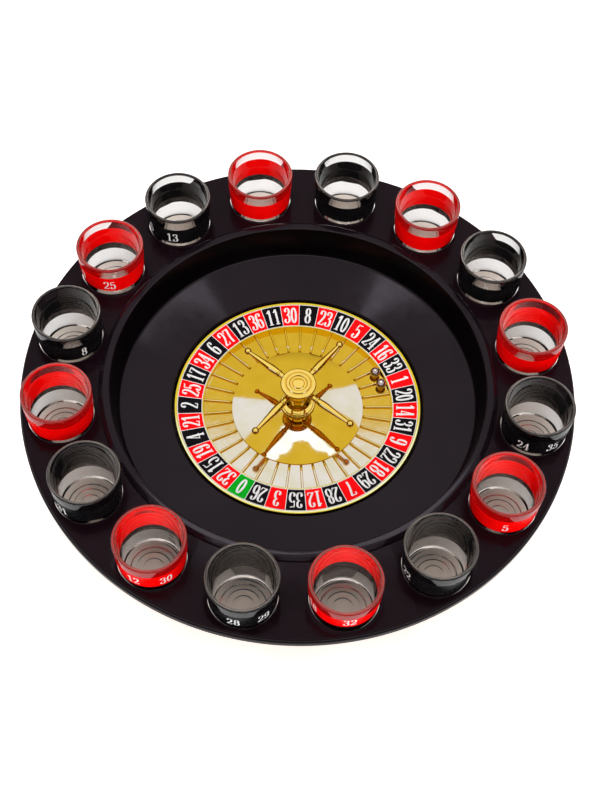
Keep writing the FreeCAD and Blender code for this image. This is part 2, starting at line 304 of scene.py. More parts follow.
GOLD_TONES = (0.76, 0.47, 0.026), (0.82, 0.51, 0.034)
GOLD = finish(
    "gold_plating", *GOLD_TONES, (0.035, 0.085), 90, 500, metallic=1.0, bumps=[(70, 0.05, 0.0004)])
GOLD_SATIN = finish(
    "gold_pockets", *GOLD_TONES, (0.06, 0.12), 90, 500, metallic=1.0, bumps=[(160, 0.06, 0.0003)])
# Painted light: a brighter copy of the gold plating for the pocket wall, land, rim and underside, standing
# in for the light that the rim catches.
GOLD_PAINTED_LIGHT = finish(
    "gold_rim_painted_light", (0.93, 0.68, 0.034), (0.97, 0.72, 0.044), (0.05, 0.1), 90, 500,
    metallic=1.0, bumps=[(160, 0.05, 0.0003)])

LABEL_ROUGH = (0.28, 0.42)
DIGIT_ROUGH = (0.3, 0.45)
BAND_ROUGH = (0.18, 0.3)
RED_INK = finish(
    "red_print", (0.70, 0.001, 0.002), (0.82, 0.002, 0.004), LABEL_ROUGH, 160, 900, specular=0.04)
BLACK_INK = finish(
    "black_print", (0.003, 0.002, 0.003), (0.006, 0.0045, 0.006), LABEL_ROUGH, 160, 900, specular=0.04)
GREEN_INK = finish(
    "green_print", (0.001, 0.26, 0.008), (0.002, 0.33, 0.012), LABEL_ROUGH, 160, 900, specular=0.04)
WHITE_INK = finish(
    "white_print", (0.56, 0.54, 0.53), (0.66, 0.64, 0.63), DIGIT_ROUGH, 300, 900, specular=0.3)
BAND_WHITE = finish(
    "band_white", (0.74, 0.73, 0.72), (0.84, 0.83, 0.82), DIGIT_ROUGH, 300, 900, specular=0.3)
BAND_RED = finish(
    "band_red", (0.86, 0.0008, 0.0008), (0.95, 0.0016, 0.0016), BAND_ROUGH, 120, 700, specular=0.03)
BAND_BLACK = finish(
    "band_black", (0.003, 0.003, 0.0035), (0.006, 0.0055, 0.006), BAND_ROUGH, 120, 700, specular=0.05)


def clear_glass(name, dark, light, through_colour):
    """Pressed glass: faint ripples, and rays from lamps pass so that what is behind stays lit."""
    m, tree, shader, where = new_material(name)
    shader.inputs["Transmission Weight"].default_value = 1.0
    shader.inputs["IOR"].default_value = 1.5
    shader.inputs["Roughness"].default_value = 0.0
    shader.inputs["Specular IOR Level"].default_value = 0.15
    tint = two_tone(tree, noise(tree, where, 60), dark, light)
    tree.links.new(tint, shader.inputs["Base Color"])
    bump(tree, shader, noise(tree, where, 110, 2.0), 0.05, 0.0006)
    path = tree.nodes.new("ShaderNodeLightPath")
    through = tree.nodes.new("ShaderNodeBsdfTransparent")
    through.inputs["Color"].default_value = (*through_colour, 1)
    mix = tree.nodes.new("ShaderNodeMixShader")
    tree.links.new(path.outputs["Is Shadow Ray"], mix.inputs["Fac"])
    tree.links.new(shader.outputs["BSDF"], mix.inputs[1])
    tree.links.new(through.outputs["BSDF"], mix.inputs[2])
    tree.links.new(mix.outputs["Shader"], tree.nodes["Material Output"].inputs["Surface"])
    return m


GLASS = clear_glass("clear_glass", (0.95, 0.93, 0.905), (0.985, 0.965, 0.945), (0.95, 0.93, 0.91))
# Painted shade: the brown tint in each glass's base darkens the table seen through it, standing in for the
# tray's shade on the table.
GLASS_BASE_PAINTED_SHADE = clear_glass("glass_base", (0.72, 0.62, 0.54), (0.77, 0.67, 0.59), (0.92, 0.87, 0.83))
# Painted reflection: the rim of each glass is tinted with its band's colour, standing in for the band's
# light that the wall carries up to the rim.
RIM_RED_REFLECTION = clear_glass("rim_red_painted_reflection", (0.86, 0.07, 0.06), (0.93, 0.13, 0.11), (0.92, 0.6, 0.58))
RIM_DARK_REFLECTION = clear_glass("rim_dark_painted_reflection", (0.24, 0.21, 0.20), (0.36, 0.33, 0.31), (0.8, 0.78, 0.76))


# ---- numerals -------------------------------------------------------------------------------
# A numeral is drawn with a broad pen: a stroke is thick where it runs up and down and thin where it
# runs across. Points are in a box one unit wide and one unit high.
def loop(cx, cy, rx, ry):
    count = 28
    return [(cx + rx * math.sin(2 * math.pi * k / count), cy + ry * math.cos(2 * math.pi * k / count))
            for k in range(count)]


SIX = [(0.84, 0.86), (0.74, 0.955), (0.52, 0.98), (0.25, 0.86), (0.14, 0.55), (0.15, 0.28), (0.27, 0.07),
       (0.52, 0.02), (0.77, 0.09), (0.86, 0.30), (0.77, 0.50), (0.54, 0.57), (0.30, 0.50), (0.17, 0.36)]
# numeral: (strokes as (points, closed, evenly thick), ball ends)
NUMERALS = {
    "0": ([(loop(0.5, 0.5, 0.35, 0.478), True, False)], []),
    "1": ([([(0.56, 1.0), (0.56, 0.0)], False, False),
           ([(0.22, 0.02), (0.90, 0.02)], False, True),
           ([(0.16, 0.80), (0.34, 0.86), (0.52, 0.98)], False, False)], []),
    "2": ([([(0.15, 0.76), (0.24, 0.92), (0.50, 0.98), (0.78, 0.90), (0.85, 0.74), (0.76, 0.54),
             (0.48, 0.32), (0.20, 0.14), (0.12, 0.05)], False, False),
           ([(0.08, 0.055), (0.50, 0.075), (0.82, 0.05), (0.93, 0.20)], False, True)], [(0.22, 0.76)]),
    "3": ([([(0.16, 0.80), (0.26, 0.94), (0.50, 0.98), (0.76, 0.90), (0.82, 0.75), (0.72, 0.60),
             (0.42, 0.53)], False, False),
           ([(0.42, 0.53), (0.76, 0.47), (0.87, 0.27), (0.76, 0.08), (0.48, 0.02), (0.22, 0.07),
             (0.13, 0.20)], False, False)], [(0.23, 0.79), (0.21, 0.22)]),
    "4": ([([(0.64, 0.99), (0.36, 0.64), (0.06, 0.29)], False, True),
           ([(0.05, 0.29), (0.97, 0.29)], False, True),
           ([(0.68, 1.0), (0.68, 0.0)], False, False),
           ([(0.42, 0.02), (0.94, 0.02)], False, True)], []),
    "5": ([([(0.19, 0.95), (0.52, 0.93), (0.86, 0.97)], False, True),
           ([(0.20, 0.95), (0.17, 0.54)], False, True),
           ([(0.17, 0.54), (0.36, 0.63), (0.62, 0.62), (0.84, 0.48), (0.86, 0.26), (0.74, 0.08),
             (0.48, 0.02), (0.23, 0.07), (0.13, 0.20)], False, False)], [(0.21, 0.22)]),
    "6": ([(SIX, False, False)], [(0.77, 0.82)]),
    "7": ([([(0.10, 0.78), (0.12, 0.94), (0.50, 0.93), (0.92, 0.95)], False, True),
           ([(0.90, 0.94), (0.62, 0.58), (0.48, 0.28), (0.47, 0.0)], False, False)], []),
    "8": ([(loop(0.5, 0.755, 0.30, 0.222), True, False),
           (loop(0.5, 0.275, 0.36, 0.253), True, False)], []),
    "9": ([([(1 - x, 1 - y) for x, y in SIX], False, False)], [(0.23, 0.18)]),
}
# pen widths and ball ends as shares of a numeral's height
PEN_THIN = 0.035
PEN_EVEN = 1.5 * PEN_THIN
BALL_END = 0.058
# raised print in mm: its top and bottom from the surface, and the step between crossing strokes
INK_TOP = 0.03
INK_BOTTOM = -0.02
INK_STEP = 0.004


def smooth_path(points, closed, steps=6):
    """Catmull-Rom points through the given ones."""
    if len(points) < 3:
        return points
    count = len(points)
    result = []
    spans = count if closed else count - 1
    for i in range(spans):
        if closed:
            p = [Vector(points[(i + j) % count]) for j in (-1, 0, 1, 2)]
        else:
            p = [Vector(points[min(max(i + j, 0), count - 1)]) for j in (-1, 0, 1, 2)]
        for k in range(steps):
            t = k / steps
            square = (2 * p[0] - 5 * p[1] + 4 * p[2] - p[3]) * t * t
            cube = (3 * p[1] - p[0] - 3 * p[2] + p[3]) * t ** 3
            result.append(0.5 * (2 * p[1] + (p[2] - p[0]) * t + square + cube))
    if not closed:
        result.append(Vector(points[-1]))
    return [tuple(v) for v in result]


def stroke_sides(points, closed, even, width, height, weight):
    """Left and right edges of one stroke, in mm."""
    path = [Vector((x * width, y * height)) for x, y in smooth_path(points, closed)]
    left, right = [], []
    for i, here in enumerate(path):
        if closed:
            along = path[(i + 1) % len(path)] - path[i - 1]
        else:
            along = path[min(i + 1, len(path) - 1)] - path[max(i - 1, 0)]
        along.normalize()
        thin = PEN_THIN * height
        thick = weight * height
        pen = PEN_EVEN * height if even else thin + (thick - thin) * abs(along.y) ** 1.6
        across = Vector((-along.y, along.x)) * (pen / 2)
        left.append(here + across)
        right.append(here - across)
    return left, right


def add_prism(bm, rows, surface, top, closed):
    """A thin closed solid over pairs of points, laid on surface(x, y, height)."""
    quads = [[bm.verts.new(surface(p.x, p.y, h)) for p in pair for h in (INK_BOTTOM, top)]
             for pair in rows]
    spans = len(quads) if closed else len(quads) - 1
    for i in range(spans):
        a, b = quads[i], quads[(i + 1) % len(quads)]
        for c, d in ((0, 1), (1, 3), (3, 2), (2, 0)):
            bm.faces.new((a[c], a[d], b[d], b[c]))
    if not closed:
        for q in (quads[0], quads[-1]):
            bm.faces.new((q[0], q[1], q[3], q[2]))


def add_dot(bm, centre, radius, surface, top):
    count = 14
    angles = [2 * math.pi * k / count for k in range(count)]
    low, high = [
        [bm.verts.new(surface(centre.x + radius * math.cos(angle), centre.y + radius * math.sin(angle), h))
         for angle in angles]
        for h in (INK_BOTTOM, top)
    ]
    for k in range(count):
        n = (k + 1) % count
        bm.faces.new((low[k], low[n], high[n], high[k]))
    bm.faces.new(low)
    bm.faces.new(high)


def add_number(bm, text, surface, digit_width, height, weight, gap):
    """Raised print of a number, centred on the origin of surface(x, y, height above it)."""
    total = len(text) * digit_width + (len(text) - 1) * gap
    for i, char in enumerate(text):
        shift = Vector((i * (digit_width + gap) - total / 2, -height / 2))
        strokes, dots = NUMERALS[char]
        top = INK_TOP
        for points, closed, even in strokes:
            left, right = stroke_sides(points, closed, even, digit_width, height, weight)
            rows = [(a + shift, b + shift) for a, b in zip(left, right)]
            add_prism(bm, rows, surface, top, closed)
            top += INK_STEP
        for x, y in dots:
            centre = Vector((x * digit_width, y * height)) + shift
            add_dot(bm, centre, BALL_END * height, surface, top)


# ---- tray -----------------------------------------------------------------------------------
WALL_FOOT_R = 95.5
WALL_FOOT = 20.9
WALL_TOP_R = 98.6


def tray_flange():
    bottom = FLANGE_TOP - FLANGE_THICK
    outline = rounded([
        (SKIRT_R, bottom, 0),
        (TRAY_R - EDGE_WALL, bottom, 0.6),
        (TRAY_R - EDGE_WALL, EDGE_BOTTOM, 0.3),
        (TRAY_R, EDGE_BOTTOM, 0.5),
        (TRAY_R, FLANGE_TOP - 1.9, 0.3),
        (TRAY_R - 0.55, FLANGE_TOP - 1.6, 0.3),
        (TRAY_R - 0.7, FLANGE_TOP, 1.1),
        (SKIRT_R, FLANGE_TOP, 0),
    ])
    flange = lathe("tray_flange_skin", outline, BLACK_PLASTIC)
    lip = 0.5
    straight_end = (HOLE_R, FLANGE_TOP - lip)
    cutter_outline = [(0, bottom - 2), (HOLE_R, bottom - 2), straight_end]
    cutter_outline += arc_through(straight_end, (HOLE_R + 0.15, FLANGE_TOP - 0.15),
                                  (HOLE_R + lip, FLANGE_TOP), 4)
    cutter_outline += [(HOLE_R + 1.5, FLANGE_TOP + 1), (0, FLANGE_TOP + 1)]
    bm = bmesh.new()
    for k in range(GLASSES):
        centre = middle("shot_glass_%02d" % (k + 1))
        place = Matrix.Translation(Vector((centre.x, centre.y, 0)) * MM)
        revolve(bm, cutter_outline, 96, place)
    cutter = finish_mesh(bm, "hole_cutter", [BLACK_PLASTIC])
    cut = flange.modifiers.new("holes", "BOOLEAN")
    cut.operation = "DIFFERENCE"
    cut.solver = "EXACT"
    cut.object = cutter
    bpy.context.view_layer.update()
    graph = bpy.context.evaluated_depsgraph_get()
    made = bpy.data.meshes.new_from_object(flange.evaluated_get(graph))
    flange.modifiers.clear()
    flange.data = made
    bpy.data.objects.remove(cutter)
    made.shade_smooth()
    made.set_sharp_from_angle(angle=math.radians(SHARP_DEG))
    return piece(flange, "tray", "black_plastic", "tray_flange")


def bowl():
    """Skirt, ridge, steep wall and sloping ball track, down to the recess for the wheel."""
    recess_r = 67.4
    recess_bottom = 6.4
    track_under = 18.6
    outline = rounded([
        (recess_r, recess_bottom, 0),
        (recess_r + 2.0, recess_bottom, 0),
        (recess_r + 2.0, 13.0, 1.0),
        (94.4, track_under, 0.8),
        (SKIRT_R - SKIRT_WALL, track_under, 0.8),
        (SKIRT_R - SKIRT_WALL, SKIRT_BOTTOM, 0.4),
        (SKIRT_R, SKIRT_BOTTOM, 0.8),
        (SKIRT_R, FLANGE_TOP - 0.2, 0),
        (RIDGE_R, FLANGE_TOP - 0.2, 0),
        (RIDGE_R - 0.7, FLANGE_TOP + 0.9, 0.8),
        (RIDGE_R - 2.6, RIDGE_TOP, 0.9),
        (WALL_TOP_R, RIDGE_TOP, 0.8),
        (WALL_FOOT_R, WALL_FOOT, 2.2),
        (recess_r + 0.7, 15.2, 0.7),
        (recess_r, 14.2, 0.4),
    ])
    skin = lathe("bowl_skin", outline, BOWL_PLASTIC)
    # the steep wall's faces take the darker copy of the plastic: painted shade
    skin.data.materials.append(WALL_PAINTED_SHADE)
    for face in skin.data.polygons:
        radius, height = face.center.xy.length / MM, face.center.z / MM
        if WALL_FOOT_R - 0.6 < radius < WALL_TOP_R - 0.2 and height > WALL_FOOT + 0.3:
            face.material_index = 1
    return piece(skin, "tray", "black_plastic", "bowl")


# ---- wheel ----------------------------------------------------------------------------------
RIB_HALF = 0.7
RIB_HEIGHT = 1.1
# across one rib: (offset from its middle, height as a share of the rib's height)
RIB_SECTION = ((-0.70, 0.0), (-0.66, 0.35), (-0.59, 0.75), (-0.48, 0.96), (-0.36, 1.0),
               (0.36, 1.0), (0.48, 0.96), (0.59, 0.75), (0.66, 0.35), (0.70, 0.0))
POCKET_COLUMNS = 4


def wheel_pan():
    """One skin: pocket floor with raised ribs, pocket wall, land, rim and underside."""
    foot_r = CONE_R + 0.15
    # rings of the floor: (radius, share of the ribs' full height there)
    rows = [(BORE_R, 0), (30.0, 0), (foot_r, 0), (foot_r + 0.25, 0.75), (foot_r + 0.6, 1.0)]
    rows += [(40.0, 1), (45.0, 1), (POCKET_R - 0.5, 1), (POCKET_R - 0.15, 1)]
    wall = rounded([
        (POCKET_R, POCKET_FLOOR + 2.2, 0),
        (POCKET_R, NUMBERS_LOW + 0.5, 0.25),
        (NUMBERS_INNER_R, NUMBERS_LOW + 0.5, 0.2),
        (NUMBERS_INNER_R, NUMBERS_LOW, 0),
        (NUMBERS_R, NUMBERS_HIGH - 0.3, 0),
        (NUMBERS_R, WHEEL_TOP, 0.25),
        (WHEEL_R, WHEEL_TOP, 0.5),
        (WHEEL_R, WHEEL_BOTTOM, 0.3),
        (WHEEL_R - 2.0, WHEEL_BOTTOM, 0.3),
        (WHEEL_R - 2.0, NUMBERS_HIGH - 1.8, 0.3),
        (POCKET_R + 1.5, NUMBERS_LOW - 1.5, 0.3),
        (POCKET_R + 1.5, WHEEL_BOTTOM, 0.3),
        (BORE_R, WHEEL_BOTTOM, 0),
    ])
    bm = bmesh.new()
    # columns round the wheel: (rib's angle, offset across it, share of its height, next rib, way to it)
    columns = []
    for k in range(POCKETS):
        centre = math.radians(FIRST_RIB_DEG + k * 360 / POCKETS)
        following = centre + 2 * math.pi / POCKETS
        for offset, share in RIB_SECTION:
            columns.append((centre, offset, share, None, 0))
        for c in range(1, POCKET_COLUMNS):
            columns.append((centre, RIB_HALF, 0.0, following, c / POCKET_COLUMNS))
    grid = []
    for r, full in rows:
        grid.append([pan_vertex(bm, column, r, POCKET_FLOOR, full) for column in columns])
    for r, z in wall:
        grid.append([pan_vertex(bm, column, r, z, 0) for column in columns])
    for i, row in enumerate(grid):
        following = grid[(i + 1) % len(grid)]
        for k in range(len(columns)):
            n = (k + 1) % len(columns)
            face = bm.faces.new((row[k], row[n], following[n], following[k]))
            # from the pocket wall outwards the pan takes the brighter copy of the plating: painted light
            face.material_index = 1 if i >= len(rows) - 1 else 0
    pan = finish_mesh(bm, "wheel_pan_skin", [GOLD_SATIN, GOLD_PAINTED_LIGHT], 50)
    return piece(pan, "wheel", "gold_plating", "wheel_pan")


def pan_vertex(bm, column, r, z, full):
    """full is 1 where ribs stand at their whole height and 0 where there are none."""
    centre, offset, share, following, along = column
    angle = centre + math.asin(offset / r)
    if following is not None:
        far = following - math.asin(RIB_HALF / r)
        angle += (far - angle) * along
    height = z + RIB_HEIGHT * share * full
    return bm.verts.new(Vector((r * math.cos(angle), r * math.sin(angle), height)) * MM)


LABEL_THICK = 0.3


def label_height(r):
    slope = (NUMBERS_HIGH - NUMBERS_LOW - LABEL_THICK) / (NUMBERS_R - NUMBERS_INNER_R)
    return NUMBERS_LOW + LABEL_THICK + slope * (r - NUMBERS_INNER_R)


def number_ring():
    """The printed label: 37 fields between thin white lines, with raised ink."""
    steps = 8
    line_half = 0.16
    margin = 0.35
    white, red, black, green = range(4)
    radii = (NUMBERS_INNER_R, NUMBERS_INNER_R + margin, NUMBERS_R - margin, NUMBERS_R)
    columns = []
    for k, number in enumerate(WHEEL_ORDER):
        edge = math.radians(FIRST_FIELD_DEG - k * 360 / POCKETS)
        ink = green if number == 0 else red if number in RED_NUMBERS else black
        columns.append((edge, line_half, white))
        columns.append((edge, -line_half, ink))
        for c in range(1, steps):
            columns.append((edge - 2 * math.pi / POCKETS * c / steps, 0, ink))
    bm = bmesh.new()
    top, base = [], []
    for r in radii:
        top.append([label_vertex(bm, edge, side, r, 0) for edge, side, ink in columns])
    for r in (radii[-1], radii[0]):
        base.append([label_vertex(bm, edge, side, r, -LABEL_THICK) for edge, side, ink in columns])
    grid = top + base
    for i, row in enumerate(grid):
        following = grid[(i + 1) % len(grid)]
        for k, (edge, side, ink) in enumerate(columns):
            n = (k + 1) % len(columns)
            face = bm.faces.new((row[k], row[n], following[n], following[k]))
            face.material_index = ink if i == 1 else white
    label = finish_mesh(bm, "number_label", [WHITE_INK, RED_INK, BLACK_INK, GREEN_INK], 30)
    return piece(label, "wheel", "number_label", "number_ring")


def label_vertex(bm, edge, side, r, lift):
    angle = edge + side / r
    height = label_height(r) + lift
    return bm.verts.new(Vector((r * math.cos(angle), r * math.sin(angle), height)) * MM)


def wheel_numbers():
    bm = bmesh.new()
    middle_r = (NUMBERS_R + NUMBERS_INNER_R) / 2
    for k, number in enumerate(WHEEL_ORDER):
        angle = math.radians(FIRST_FIELD_DEG - (k + 0.5) * 360 / POCKETS)
        outward = Vector((math.cos(angle), math.sin(angle)))
        rightward = Vector((math.sin(angle), -math.cos(angle)))

        def on_label(x, y, height, outward=outward, rightward=rightward):
            flat = outward * (middle_r + y) + rightward * x
            return Vector((flat.x, flat.y, label_height(flat.length) + height)) * MM

        add_number(bm, str(number), on_label, digit_width=3.35, height=9.5, weight=0.118, gap=0.35)
    digits = finish_mesh(bm, "wheel_numbers", [WHITE_INK], 30)
    return piece(digits, "wheel", "number_label")


def wheel_cone():
    edge = CONE_FOOT + 0.5
    flat_r = 8.5
    under = CONE_TOP - 0.8
    dome_start = (CONE_R - 0.1, edge + 0.05)
    outline = [(BORE_R, under), (flat_r, under), (21.5, 11.9), (CONE_R - 2.4, CONE_FOOT)]
    outline += [(CONE_R, CONE_FOOT), (CONE_R, edge - 0.1), dome_start]
    outline += arc_through(dome_start, (22.5, 12.75), (flat_r, CONE_TOP), 40)
    outline.append((BORE_R, CONE_TOP))
    cone = lathe("wheel_cone_skin", outline, GOLD, 360)
    return piece(cone, "wheel", "gold_plating", "wheel_cone")


# ---- turret ---------------------------------------------------------------------------------
def turret_neck():
    foot = CONE_TOP
    stem_r = 5.15
    socket_top = 26.0
    outline = rounded([
        (BORE_R, foot, 0),
        (9.2, foot, 0.4),
        (9.5, foot + 0.55, 0.4),
        (9.1, foot + 1.15, 0.3),
        (8.4, foot + 1.2, 0.2),
        (8.3, foot + 1.7, 0.3),
        (7.4, foot + 1.95, 0.4),
        (6.3, foot + 2.5, 0.8),
        (stem_r, foot + 4.8, 2.0),
        (stem_r, NECK_TOP - 5.0, 1.2),
        (5.45, NECK_TOP - 4.6, 0.3),
        (5.5, NECK_TOP - 3.9, 0.3),
        (5.25, NECK_TOP - 3.6, 0.3),
        (5.5, NECK_TOP - 1.9, 1.5),
        (6.8, NECK_TOP, 0.3),
        (0, NECK_TOP, 0),
        (0, socket_top, 0),
        (BORE_R, socket_top, 0.3),
    ])
    neck = lathe("turret_neck_skin", outline, GOLD, 128)
    return piece(neck, "wheel", "gold_plating", "turret_neck")


def turret_hub():
    outline = rounded([
        (0, NECK_TOP, 0),
        (HUB_R - 0.3, NECK_TOP, 0.2),
        (HUB_R, NECK_TOP + 0.4, 0.3),
        (HUB_R, HUB_TOP - 0.6, 0.3),
        (HUB_R - 0.5, HUB_TOP, 0.2),
        (0, HUB_TOP, 0),
    ])
    hub = lathe("turret_hub_skin", outline, GOLD, 128)
    return piece(hub, "wheel", "gold_plating", "turret_hub")


def turret_cap():
    outline = rounded([
        (0, HUB_TOP, 0),
        (CAP_R - 0.9, HUB_TOP, 0.5),
        (CAP_R, HUB_TOP + 0.9, 0.8),
        (CAP_R - 0.5, CAP_TOP - 0.5, 0.7),
        (CAP_R - 2.5, CAP_TOP - 0.35, 0.25),
        (CAP_R - 2.85, CAP_TOP - 0.85, 0.2),
        (CAP_R - 3.35, CAP_TOP - 0.15, 0.35),
        (CAP_R - 4.8, CAP_TOP - 0.05, 0.35),
        (CAP_R - 5.3, CAP_TOP - 0.85, 0.2),
        (3.45, CAP_TOP - 0.85, 0.2),
        (2.95, CAP_TOP - 0.2, 0.35),
        (1.6, CAP_TOP, 2.0),
        (0, CAP_TOP, 0),
    ])
    cap = lathe("turret_cap_skin", outline, GOLD, 192)
    return piece(cap, "wheel", "gold_plating", "turret_cap")


def turret_arm(k):
    """A turned arm lying outwards: pin in the hub, shank, collar, belly, taper and ball end."""
    root = 7.25
    pin_start = root - 4.0
    shank_r = 1.55
    collar_r = 2.05
    belly_start = (1.75, root + 6.4)
    belly_end_r, belly_end = 1.78, root + 15.0
    tip = 34.9
    taper_end = tip - 1.7
    ball = 1.95
    neck = 1.0
    outline = [(0, pin_start), (1.2, pin_start), (1.25, root - 0.05), (shank_r, root), (shank_r, root + 4.9)]
    outline += [(1.62, root + 5.15), (collar_r - 0.1, root + 5.35), (collar_r, root + 5.6)]
    outline += [(collar_r, root + 5.9), (collar_r - 0.1, root + 6.15), (1.7, root + 6.3), belly_start]
    outline += arc_through(belly_start, (2.05, root + 9.6), (belly_end_r, belly_end), 8)
    for t in (0.25, 0.5, 0.75, 1.0):
        outline.append((belly_end_r + (neck - belly_end_r) * t, belly_end + (taper_end - belly_end) * t))
    ball_steps = 16
    ball_turn = math.pi - math.asin(neck / ball)
    for step in range(1, ball_steps + 1):
        angle = ball_turn * (1 - step / ball_steps)
        outline.append((max(ball * math.sin(angle), 0), tip + ball * math.cos(angle)))
    spot = turned(ARM_FIRST_DEG + k * 360 / ARMS) @ Matrix.Translation((0, 0, ARM_Z * MM))
    lay = spot @ Matrix.Rotation(math.pi / 2, 4, "Y")
    arm = lathe("turret_arm_%d_skin" % (k + 1), outline, GOLD, 64, lay)
    return piece(arm, "wheel", "gold_plating", "turret_arm_%d" % (k + 1))


# ---- loose pieces ---------------------------------------------------------------------------
def steel_ball(k):
    node = "steel_ball_%d" % (k + 1)
    steps = 32
    angles = [math.pi * i / steps for i in range(1, steps)]
    outline = [(0, -BALL_R)]
    outline += [(BALL_R * math.sin(angle), -BALL_R * math.cos(angle)) for angle in angles]
    outline.append((0, BALL_R))
    ball = lathe(node + "_skin", outline, BALL_STEEL, 64, Matrix.Translation(middle(node) * MM))
    return piece(ball, "ball_%d" % (k + 1), "ball_steel", node)


def glass_radius(z):
    return GLASS_RIM_R - GLASS_TAPER * (GLASS_HIGH - z)


BAND_FOOT = FLANGE_TOP + 1.6
BAND_WIDTH = 12.2
# bands printed higher than usual, by the glass's index: (rise, narrower by)
BAND_SHIFT = {6: (1.2, 0.8), 8: (4.0, 3.4), 2: (1.0, 0.6)}
BAND_DEPTH = 0.04
BAND_PROUD = 0.05
NUMBER_RISE = 5.2
# Below the first height, over the inside floor, the glass carries a brown tint of painted shade, and above
# the second, under the rim, a tint of painted reflection of its band.
BASE_SHADE_ZONE = 0.6
RIM_REFLECTION_ZONE = 1.3
# numbers printed on each glass: (number, direction in degrees that it faces)
GLASS_PRINT = (
    ((19, 56), (6, 120)), ((13, 262), (6, 214)), ((25, 272), (9, 216)), ((8, 304), (17, 140)),
    ((34, 180), (27, 20)), ((31, 232), (14, 60)), ((12, 246), (30, 300)), ((28, 258), (29, 308)),
    ((32, 278), (18, 210)), ((22, 208), (33, 30)), ((5, 268), (23, 338)), ((24, 244), (35, 296)),
    ((1, 20), (21, 150)), ((11, 30), (20, 160)), ((3, 60), (26, 170)), ((2, 40), (15, 150)),
)


def shot_glass(k):
    """Glass, printed band and raised numbers; returns the two printed pieces."""
    is_red = k % 2 == 0
    node = "shot_glass_%02d" % (k + 1)
    body = "glass_%02d" % (k + 1)
    centre = middle(node)
    place = Matrix.Translation(Vector((centre.x, centre.y, 0)) * MM)
    floor_z = GLASS_LOW + GLASS_FLOOR
    inner = glass_radius(floor_z) - GLASS_WALL
    punt = 12.0
    outline = rounded([
        (0, GLASS_LOW + 1.0, 0),
        (3.6, GLASS_LOW + 1.0, 1.2),
        (4.6, GLASS_LOW + 1.6, 0.9),
        (5.6, GLASS_LOW + 1.0, 0.9),
        (7.0, GLASS_LOW + 1.0, 0.9),
        (8.0, GLASS_LOW + 1.6, 0.9),
        (9.0, GLASS_LOW + 1.0, 0.9),
        (punt - 0.9, GLASS_LOW + 0.9, 0.5),
        (punt + 0.1, GLASS_LOW, 0.5),
        (glass_radius(GLASS_LOW), GLASS_LOW, 1.2),
        (GLASS_RIM_R, GLASS_HIGH, 0.9),
        (GLASS_RIM_R - GLASS_WALL, GLASS_HIGH, 0.9),
        (inner, floor_z, 2.6),
        (inner * 0.45, floor_z - 0.25, 3.0),
        (0, floor_z - 0.3, 0),
    ])
    glass = lathe(node + "_skin", outline, GLASS, 128, place)
    glass.data.materials.append(GLASS_BASE_PAINTED_SHADE)
    glass.data.materials.append(RIM_RED_REFLECTION if is_red else RIM_DARK_REFLECTION)
    for face in glass.data.polygons:
        height = face.center.z / MM
        # the base takes the tint of painted shade
        if height < floor_z + BASE_SHADE_ZONE:
            face.material_index = 1
        # the faces under the rim take the tint of painted reflection of the band
        if height > GLASS_HIGH - RIM_REFLECTION_ZONE:
            face.material_index = 2
    piece(glass, body, "clear_glass", node)
    ink = BAND_RED if is_red else BAND_BLACK
    rise, narrower = BAND_SHIFT.get(k, (0.0, 0.0))
    low = BAND_FOOT + rise
    high = low + BAND_WIDTH - narrower
    band_outline = [
        (glass_radius(low) - BAND_DEPTH, low),
        (glass_radius(low) + BAND_PROUD, low),
        (glass_radius(high) + BAND_PROUD, high),
        (glass_radius(high) - BAND_DEPTH, high),
    ]
    band = lathe(body + "_band", band_outline, ink, 128, place)
    piece(band, body, "clear_glass")
    bm = bmesh.new()
    for number, facing in GLASS_PRINT[k]:
        turn = math.radians(facing)

        def on_band(x, y, height, turn=turn):
            z = low + NUMBER_RISE + y
            radius = glass_radius(z) + BAND_PROUD
            angle = turn + x / radius
            reach = radius + height
            return place @ (Vector((reach * math.cos(angle), reach * math.sin(angle), z)) * MM)

        add_number(bm, str(number), on_band, digit_width=3.0, height=6.8, weight=0.115, gap=0.45)
    print_piece = finish_mesh(bm, body + "_numbers", [BAND_WHITE], 30)
    piece(print_piece, body, "clear_glass")
    return [band, print_piece]


# ---- camera, light and floor ----------------------------------------------------------------
SENSOR = 36.0
LENS = 61.29
CAMERA_DISTANCE = 713.9
CAMERA_ELEVATION = 57.92
CAMERA_ROLL = 2.357
# how far the middle of the flange lies off the view's axis, as a share of its distance
AIM_RIGHT = -0.001623
AIM_UP = 0.014648


def camera():
    """Looks at the middle of the flange from the front; the aim is shifted to frame the tray."""
    elevation = math.radians(CAMERA_ELEVATION)
    offset = Vector((0, -math.cos(elevation), math.sin(elevation))) * CAMERA_DISTANCE
    place = offset + Vector((0, 0, FLANGE_TOP))
    ahead = -offset.normalized()
    right = Vector((1, 0, 0))
    up = right.cross(ahead)
    ahead = (ahead - right * AIM_RIGHT - up * AIM_UP).normalized()
    right = ahead.cross(Vector((0, 0, 1))).normalized()
    up = right.cross(ahead)
    roll = math.radians(CAMERA_ROLL)
    side = right * math.cos(roll) + up * math.sin(roll)
    top = up * math.cos(roll) - right * math.sin(roll)
    data = bpy.data.cameras.new("camera")
    data.sensor_width = SENSOR
    data.lens = LENS
    data.clip_start = 0.01
    obj = bpy.data.objects.new("camera", data)
    bpy.context.scene.collection.objects.link(obj)
    axes = Matrix((side, top, -ahead)).transposed()
    obj.matrix_world = Matrix.Translation(place * MM) @ axes.to_4x4()
    bpy.context.scene.camera = obj


def area_light(name, place, target, width, height, power, colour=(1, 1, 1)):
    data = bpy.data.lights.new(name, "AREA")
    data.shape = "RECTANGLE"
    data.size = width
    data.size_y = height
    data.energy = power
    data.color = colour
    obj = bpy.data.objects.new(name, data)
    bpy.context.scene.collection.objects.link(obj)
    obj.location = place
    obj.rotation_euler = (Vector(target) - Vector(place)).to_track_quat("-Z", "Y").to_euler()
    return obj


